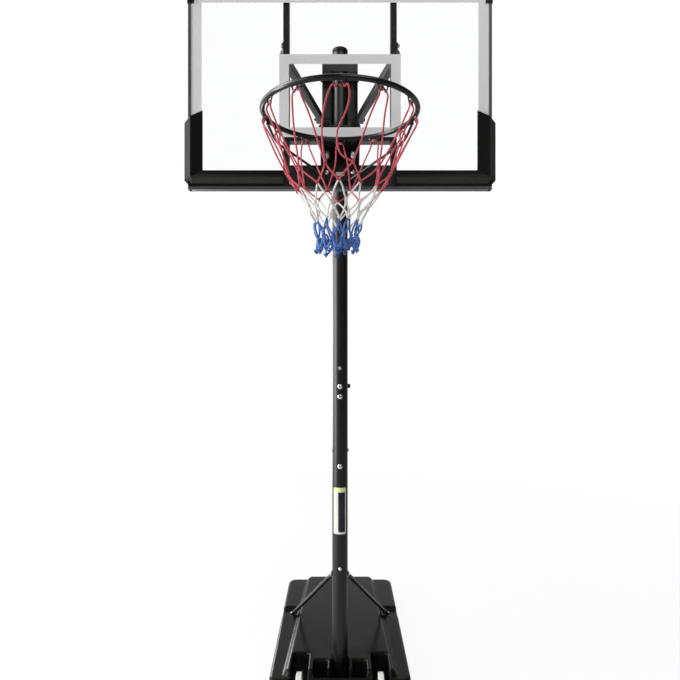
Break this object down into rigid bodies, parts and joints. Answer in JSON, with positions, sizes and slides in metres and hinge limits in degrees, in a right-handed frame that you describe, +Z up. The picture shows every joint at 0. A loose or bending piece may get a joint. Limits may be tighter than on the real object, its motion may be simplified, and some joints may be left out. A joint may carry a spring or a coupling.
{
  "type": "basketball stand",
  "caption": "Height-adjustable basketball stand: clear board, ring and net on parallelogram arms, round pole, struts and a wheeled water-filled base.",
  "frame": {"origin": "on the pole's axis, on the underside of the base, where it rests on the floor", "axes": "+Z up along the pole, -Y to the court side where the ring hangs, +X to the right seen from the court"},
  "size_m": [1.13, 2.305, 3.13],
  "materials": {
    "black_coat": "satin black powder coat",
    "grey_coat": "satin dark grey powder coat",
    "zinc": "bright zinc plate",
    "tank_plastic": "blow-moulded black plastic, satin",
    "water": "water",
    "wheel_plastic": "moulded pale plastic",
    "cap_plastic": "moulded black plastic",
    "clear_sheet": "clear polycarbonate with printed pale grey lines",
    "pad_rubber": "soft black moulding",
    "grip_rubber": "black rubber",
    "red_cord": "red net cord",
    "white_blue_cord": "net cord, white above and blue at the hem"
  },
  "bodies": {
    "stand": {"pole_lower": "black_coat", "pole_middle": "black_coat", "pole_upper": "black_coat", "strut_left": "black_coat", "strut_right": "black_coat", "mast_channel": "black_coat", "height_guide": "black_coat", "wheel_axle": "zinc", "strut_cross_bolt": "zinc", "strut_front_bolt": "zinc", "lower_joint_front_bolt": "zinc", "lower_joint_cross_bolt": "zinc", "upper_joint_cross_bolt": "zinc", "channel_bolt": "zinc", "guide_bolt_1": "zinc", "guide_bolt_2": "zinc", "guide_bolt_3": "zinc", "strut_foot_bolt_left": "zinc", "strut_foot_bolt_right": "zinc", "upper_pivot_bolt": "zinc", "lower_pivot_bolt": "zinc", "base_tank": "tank_plastic", "water_ballast": "water", "pole_cap": "cap_plastic"},
    "upper_arms": {"upper_arm_left": "black_coat", "upper_arm_right": "black_coat"},
    "lower_arms": {"lower_arm_left": "black_coat", "lower_arm_right": "black_coat", "arm_link_pin": "zinc"},
    "backboard": {"board_pivot_bolt_left": "zinc", "board_pivot_bolt_right": "zinc", "lower_board_bolt": "zinc", "frame_rail_left": "grey_coat", "frame_rail_right": "grey_coat", "frame_rail_top": "grey_coat", "frame_rail_bottom": "grey_coat", "backboard_panel": "clear_sheet", "upright_left": "black_coat", "upright_right": "black_coat", "crossbar": "black_coat", "ring_backing_plate": "black_coat", "corner_pad_left": "pad_rubber", "corner_pad_right": "pad_rubber", "corner_cap_left": "cap_plastic", "corner_cap_right": "cap_plastic", "rim": "black_coat", "ring_bracket": "black_coat", "ring_brace": "black_coat", "ring_bolt_1": "zinc", "ring_bolt_2": "zinc", "ring_bolt_3": "zinc", "ring_bolt_4": "zinc", "net_upper": "red_cord", "net_lower": "white_blue_cord"},
    "adjuster": {"adjuster_rod": "black_coat", "rod_grip": "grip_rubber"},
    "lock_knob": {"height_lock_knob": "cap_plastic"},
    "wheel_left": {"wheel_left": "wheel_plastic"},
    "wheel_right": {"wheel_right": "wheel_plastic"},
    "filler_cap": {"filler_cap": "cap_plastic"}
  },
  "joints": [
    {"name": "board_lift", "type": "hinge", "parent": "stand", "child": "upper_arms", "pos_m": [0, 0, 2.78], "axis": [-1, 0, 0], "range_deg": [-22, 31]},
    {"name": "board_level", "type": "hinge", "parent": "upper_arms", "child": "backboard", "pos_m": [0, -0.7, 2.78], "axis": [-1, 0, 0], "range_deg": [-31.5, 22.5]},
    {"name": "lower_arm_swing", "type": "hinge", "parent": "stand", "child": "lower_arms", "pos_m": [0, 0, 2.485], "axis": [-1, 0, 0], "range_deg": [-22.5, 31.5]},
    {"name": "rod_slide", "type": "slide", "parent": "stand", "child": "adjuster", "axis": [0, 0, 1], "range_m": [-0.057, 0.0405]},
    {"name": "lock_knob_turn", "type": "hinge", "parent": "stand", "child": "lock_knob", "pos_m": [0, 0.11, 1.466], "axis": [1, 0, 0], "range_deg": [0, 720]},
    {"name": "wheel_left_spin", "type": "hinge", "parent": "stand", "child": "wheel_left", "pos_m": [-0.19275, -0.112, 0.0665], "axis": [1, 0, 0], "continuous": true},
    {"name": "wheel_right_spin", "type": "hinge", "parent": "stand", "child": "wheel_right", "pos_m": [0.19275, -0.112, 0.0665], "axis": [1, 0, 0], "continuous": true},
    {"name": "filler_cap_lift", "type": "slide", "parent": "stand", "child": "filler_cap", "axis": [0, 0, 1], "range_m": [0, 0.03]}
  ],
  "couplings": [
    {"joint": "board_level", "follows": "board_lift", "ratio": -1},
    {"joint": "lower_arm_swing", "follows": "board_lift", "ratio": 1},
    {"joint": "rod_slide", "follows": "board_lift", "m_per_rad": -0.10471}
  ]
}
